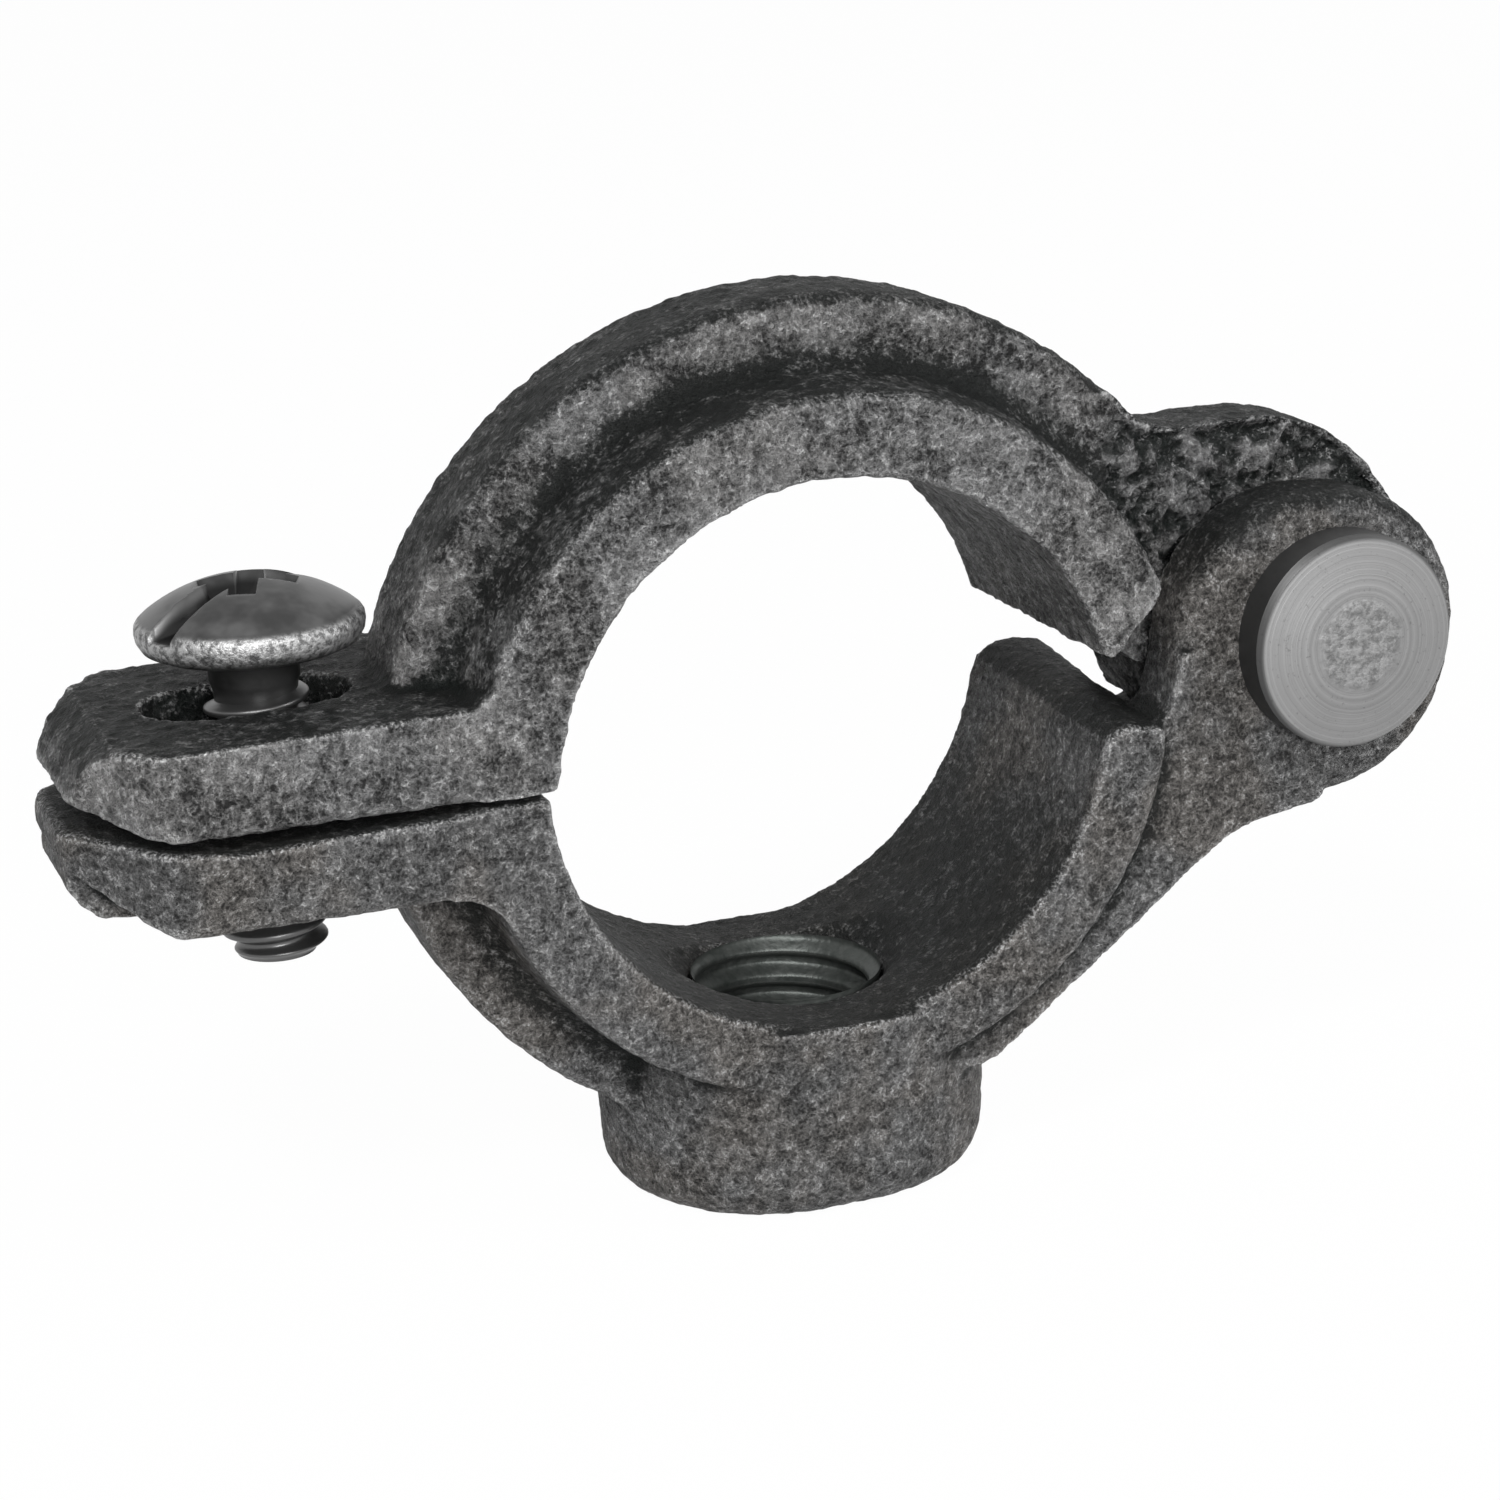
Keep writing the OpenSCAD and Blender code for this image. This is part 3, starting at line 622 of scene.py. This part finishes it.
# Painted shade: the head's side wall is darkened almost to black.
side = (from_axis - 4.95 * MM).ramp(0.0, 0.2 * MM)
satin = rivet_steel.blend(rings.ramp(0.3, 0.7) * 0.6 + wander * 0.4, grey(0.165), grey(0.235))
dull = rivet_steel.blend(scale.ramp(0.35, 0.65), grey(0.10), grey(0.22))
face = rivet_steel.blend(spot * 0.85, satin, dull)
flecked = rivet_steel.blend((1 - specks.ramp(0.30, 0.40)) * 0.5, face, grey(0.08))
rivet_steel.surface(
    Base_Color=rivet_steel.blend(side * 0.8, flecked, grey(0.02)),
    Roughness=0.50 + spot * 0.14, Metallic=0.75,
    Normal=rivet_steel.bump(scale * spot, 0.10 * MM, rivet_steel.bump(rings, 0.012 * MM)))
rivet = frame["nodes"]["hinge_rivet"]
rivet.data.materials.clear()
rivet.data.materials.append(rivet_steel.material)


# Clamp screw: a truss-head machine screw with a straight slot and a cross recess, a
# smooth neck, and a 24-turn thread below it. Its head is rolled, then darkened.
SCREW_X = -24.794
HEAD_RADIUS = 5.17
HEAD_SEAT = 5.95
HEAD_RIM = 1.35
HEAD_TOP = 9.2
NECK_RADIUS = 2.07
THREAD_TOP = 4.3
SCREW_TIP = -8.5
DRIVER_TURN = 27


def turned(name, profile, steps=96):
    """Solid of revolution about the screw's axis, from radii and heights in mm."""
    body = bmesh.new()
    rings_of_verts = []
    for radius, height in profile:
        if radius == 0:
            rings_of_verts.append([body.verts.new((SCREW_X * MM, 0, height * MM))])
        else:
            rings_of_verts.append([body.verts.new(
                ((SCREW_X + radius * cos(2 * pi * i / steps)) * MM,
                 radius * sin(2 * pi * i / steps) * MM, height * MM)) for i in range(steps)])
    for below, above in zip(rings_of_verts, rings_of_verts[1:]):
        for i in range(steps):
            j = (i + 1) % steps
            corners = [below[i % len(below)], below[j % len(below)],
                       above[j % len(above)], above[i % len(above)]]
            body.faces.new(list(dict.fromkeys(corners)))
    bmesh.ops.recalc_face_normals(body, faces=body.faces)
    mesh = bpy.data.meshes.new(name)
    body.to_mesh(mesh)
    body.free()
    return link(bpy.data.objects.new(name, mesh))


def recess(name, outline, width, turn):
    """Cutter with a side outline in mm, turned about the screw's axis."""
    tool = block(name, outline, outline, -width / 2, width / 2)
    tool.data.transform(Matrix.Translation((SCREW_X * MM, 0, 0))
                        @ Matrix.Rotation(radians(turn), 4, "Z"))
    return tool


dome_rise = HEAD_TOP - HEAD_SEAT - HEAD_RIM
dome_radius = (HEAD_RADIUS ** 2 + dome_rise ** 2) / (2 * dome_rise)
dome_half = degrees(acos(1 - dome_rise / dome_radius))
dome = [(max(x, 0), z) for x, z in arc((0, HEAD_TOP - dome_radius), dome_radius,
                                      90 - dome_half + 4, 90, 14)]
head = turned("screw_head", [
    (0, THREAD_TOP - 1.5), (NECK_RADIUS - 0.3, THREAD_TOP - 1.5), (NECK_RADIUS - 0.1, THREAD_TOP),
    (NECK_RADIUS, THREAD_TOP + 0.2), (NECK_RADIUS, HEAD_SEAT - 0.1),
    (NECK_RADIUS + 0.2, HEAD_SEAT)]
    + [(HEAD_RADIUS - 0.75, HEAD_SEAT), (HEAD_RADIUS - 0.3, HEAD_SEAT + 0.2),
       (HEAD_RADIUS - 0.06, HEAD_SEAT + 0.6), (HEAD_RADIUS, HEAD_SEAT + 0.95),
       (HEAD_RADIUS - 0.03, HEAD_SEAT + HEAD_RIM - 0.1),
       (HEAD_RADIUS - 0.14, HEAD_SEAT + HEAD_RIM + 0.08)] + dome[:-1] + [(0, HEAD_TOP)])
SLOT = [(-6, 6.95), (0, 7.5), (6, 6.95), (6, 11), (-6, 11)]
WING = [(-0.9, 6.8), (0.9, 6.8), (2.6, 9.3), (2.6, 11), (-2.6, 11), (-2.6, 9.3)]
screw_head = worked(head, [
    ("DIFFERENCE", recess("driver slot", SLOT, 1.5, DRIVER_TURN)),
    ("DIFFERENCE", recess("wing", WING, 1.25, DRIVER_TURN + 45)),
    ("DIFFERENCE", recess("other wing", WING, 1.25, DRIVER_TURN + 135))])
screw_steel = Finish("screw steel")
place = screw_steel.place
x, y, z = screw_steel.parts(place)
out = x - SCREW_X * MM
reach = (out * out + y * y) ** 0.5
pitting = screw_steel.noise(place, 0.34 * MM, 3, 0.7)
smear = screw_steel.noise(place, 2.4 * MM, 3, 0.55)
rolled = (reach - 4.75 * MM).ramp(0.0, 0.25 * MM)
top = z.ramp((HEAD_SEAT + HEAD_RIM) * MM, (HEAD_SEAT + HEAD_RIM + 0.35) * MM)
black = screw_steel.blend(smear.ramp(0.35, 0.65), grey(0.05), grey(0.11))
band = screw_steel.blend(pitting.ramp(0.36, 0.60), grey(0.09), grey(0.34))
below = 1 - z.ramp((THREAD_TOP - 0.3) * MM, (THREAD_TOP + 0.2) * MM)
skin = screw_steel.blend(rolled * (1 - top), black, band)
# Painted shade: the walls and floor of the driver slot and cross recess are darkened almost to black.
cut = ((dome_radius ** 2 * 1e-6 - reach * reach) ** 0.5 + (HEAD_TOP - dome_radius) * MM - z).ramp(
    0.12 * MM, 0.7 * MM) * (1 - reach.ramp(5.0 * MM, 5.1 * MM)) * z.ramp(6.7 * MM, 6.9 * MM)
skin = screw_steel.blend(cut * (0.6 + smear * 0.5).clamped(), skin, grey(0.012))
screw_steel.surface(
    Base_Color=screw_steel.blend(below, skin, grey(0.11)),
    Roughness=0.34 + rolled * 0.12 + smear * 0.1, Metallic=0.85,
    Normal=screw_steel.bump(pitting * rolled, 0.09 * MM, screw_steel.bump(smear, 0.03 * MM)))
screw_head.data.materials.append(screw_steel.material)
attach(screw_head, "screw")
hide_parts("clamp_screw")
screw_thread = thread("screw_thread", screw_steel.material,
                      Vector((SCREW_X * MM, 0, (THREAD_TOP + SCREW_TIP) / 2 * MM)),
                      root=1.8 * MM, crest=2.4 * MM, pitch=25.4 / 24 * MM,
                      length=(THREAD_TOP - SCREW_TIP) * MM)
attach(screw_thread, "screw")


# The table: a pale floor that runs out of sight, plain soft lamps in front, and a white room.
FLOOR_REACH = 3.0
WHITE_SHARE = 0.98

paper = bpy.data.materials.new("white paper")
paper.use_nodes = True
works = Works(paper.node_tree)
path = works.tree.nodes.new("ShaderNodeLightPath")
seen = Wire(works.tree, path.outputs["Is Camera Ray"]).most(
    Wire(works.tree, path.outputs["Is Glossy Ray"])).most(
    Wire(works.tree, path.outputs["Is Transmission Ray"]))
matt = works.node("ShaderNodeBsdfDiffuse", inputs={"Color": grey(0.8)})
glow = works.node("ShaderNodeEmission", inputs={"Color": grey(1.0), "Strength": 1.0})
mix = works.tree.nodes.new("ShaderNodeMixShader")
plug(works.tree, seen * WHITE_SHARE, mix.inputs[0])
plug(works.tree, matt, mix.inputs[1])
plug(works.tree, glow, mix.inputs[2])
sheet = works.tree.nodes.new("ShaderNodeOutputMaterial")
works.tree.links.new(mix.outputs[0], sheet.inputs["Surface"])

floor_z = cad_box[0][2]
floor_mesh = bpy.data.meshes.new("floor")
floor_mesh.from_pydata([(x, y, floor_z) for x, y in (
    (-FLOOR_REACH, -FLOOR_REACH), (FLOOR_REACH, -FLOOR_REACH),
    (FLOOR_REACH, FLOOR_REACH), (-FLOOR_REACH, FLOOR_REACH))], [], [(0, 1, 2, 3)])
floor_mesh.materials.append(paper)
floor = link(bpy.data.objects.new("floor", floor_mesh))

ROOM_LIGHT = 0.05
room = bpy.data.worlds.new("room")
room.use_nodes = True
bpy.context.scene.world = room
works = Works(room.node_tree)
path = works.tree.nodes.new("ShaderNodeLightPath")
seen = Wire(works.tree, path.outputs["Is Camera Ray"]).most(
    Wire(works.tree, path.outputs["Is Glossy Ray"])).most(
    Wire(works.tree, path.outputs["Is Transmission Ray"]))
air = works.node("ShaderNodeBackground", inputs={
    "Color": grey(1.0), "Strength": seen * (1 - ROOM_LIGHT) + ROOM_LIGHT})
sky = works.tree.nodes.new("ShaderNodeOutputWorld")
works.tree.links.new(air.socket, sky.inputs["Surface"])


def lamp(name, azimuth, height, distance, size, power):
    """Square soft lamp that faces the ring from a compass direction and a height."""
    light = bpy.data.lights.new(name, "AREA")
    light.size = size
    light.energy = power
    away = Vector((sin(radians(azimuth)) * cos(radians(height)),
                   -cos(radians(azimuth)) * cos(radians(height)), sin(radians(height))))
    made = link(bpy.data.objects.new(name, light))
    made.location = away * distance
    made.rotation_euler = away.to_track_quat("Z", "Y").to_euler()


lamp("lamp over the camera", -34, 44, 1.1, 0.2, 9)
lamp("lamp in front", -8, 16, 0.7, 0.25, 4)
lamp("lamp on the right", 60, 26, 1.0, 0.25, 5)

bpy.context.scene.view_settings.view_transform = "Standard"
